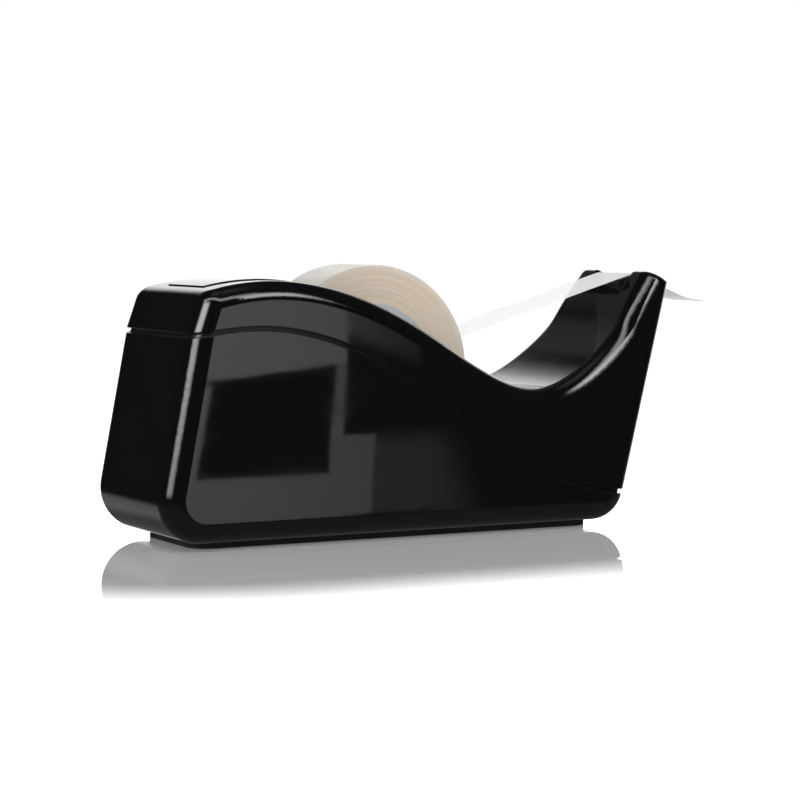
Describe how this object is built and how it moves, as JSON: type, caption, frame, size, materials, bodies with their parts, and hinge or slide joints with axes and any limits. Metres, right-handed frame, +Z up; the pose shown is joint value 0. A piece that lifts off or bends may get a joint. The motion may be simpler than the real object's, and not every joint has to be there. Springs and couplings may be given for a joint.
{
  "type": "tape dispenser",
  "caption": "weighted desk tape dispenser with a two-shell wave-shaped housing, a roll of clear tape on a spool hub and a toothed cutter between two ears",
  "frame": {"origin": "on the resting face of the anti-slip pad, straight below the roll's axis", "axes": "+X runs from the roll to the cutter, +Z is up, and Y = 0 is the plane of symmetry"},
  "size_m": [0.1792, 0.051, 0.0742],
  "materials": {
    "black_shell": "polished injection-moulded black plastic",
    "black_insert": "black plastic, slightly softer gloss",
    "blade_steel": "bright stainless strip",
    "hub_plastic": "blue-grey plastic",
    "core_card": "wound card",
    "tape_winding": "edge of wound clear tape, tan",
    "tape_film": "frosted clear film",
    "ballast_iron": "as cast",
    "pad_rubber": "fine-celled foam rubber",
    "screw_steel": "bright zinc"
  },
  "bodies": {
    "housing": {"base_shell": "black_shell", "top_cover": "black_shell", "channel_insert": "black_insert", "cutter_holder": "black_insert", "cutter_blade": "blade_steel", "blade_rivet_left": "blade_steel", "blade_rivet_right": "blade_steel", "ballast_block": "ballast_iron", "anti_slip_pad": "pad_rubber", "cover_screw_rear_left": "screw_steel", "cover_screw_rear_right": "screw_steel", "cover_screw_front_left": "screw_steel", "cover_screw_front_right": "screw_steel", "ballast_screw_rear": "screw_steel", "ballast_screw_front": "screw_steel", "insert_screw_rear": "screw_steel", "insert_screw_front": "screw_steel"},
    "leader": {"tape_leader": "tape_film"},
    "spool": {"hub_left": "hub_plastic", "hub_right": "hub_plastic", "tape_core": "core_card", "tape_roll": "tape_winding"}
  },
  "joints": [
    {"name": "spool_lift", "type": "slide", "parent": "housing", "child": "leader", "axis": [0, 0, 1], "range_m": [0, 0.06]},
    {"name": "spool_spin", "type": "hinge", "parent": "leader", "child": "spool", "pos_m": [0, 0, 0.0452], "axis": [0, 1, 0], "continuous": true}
  ]
}
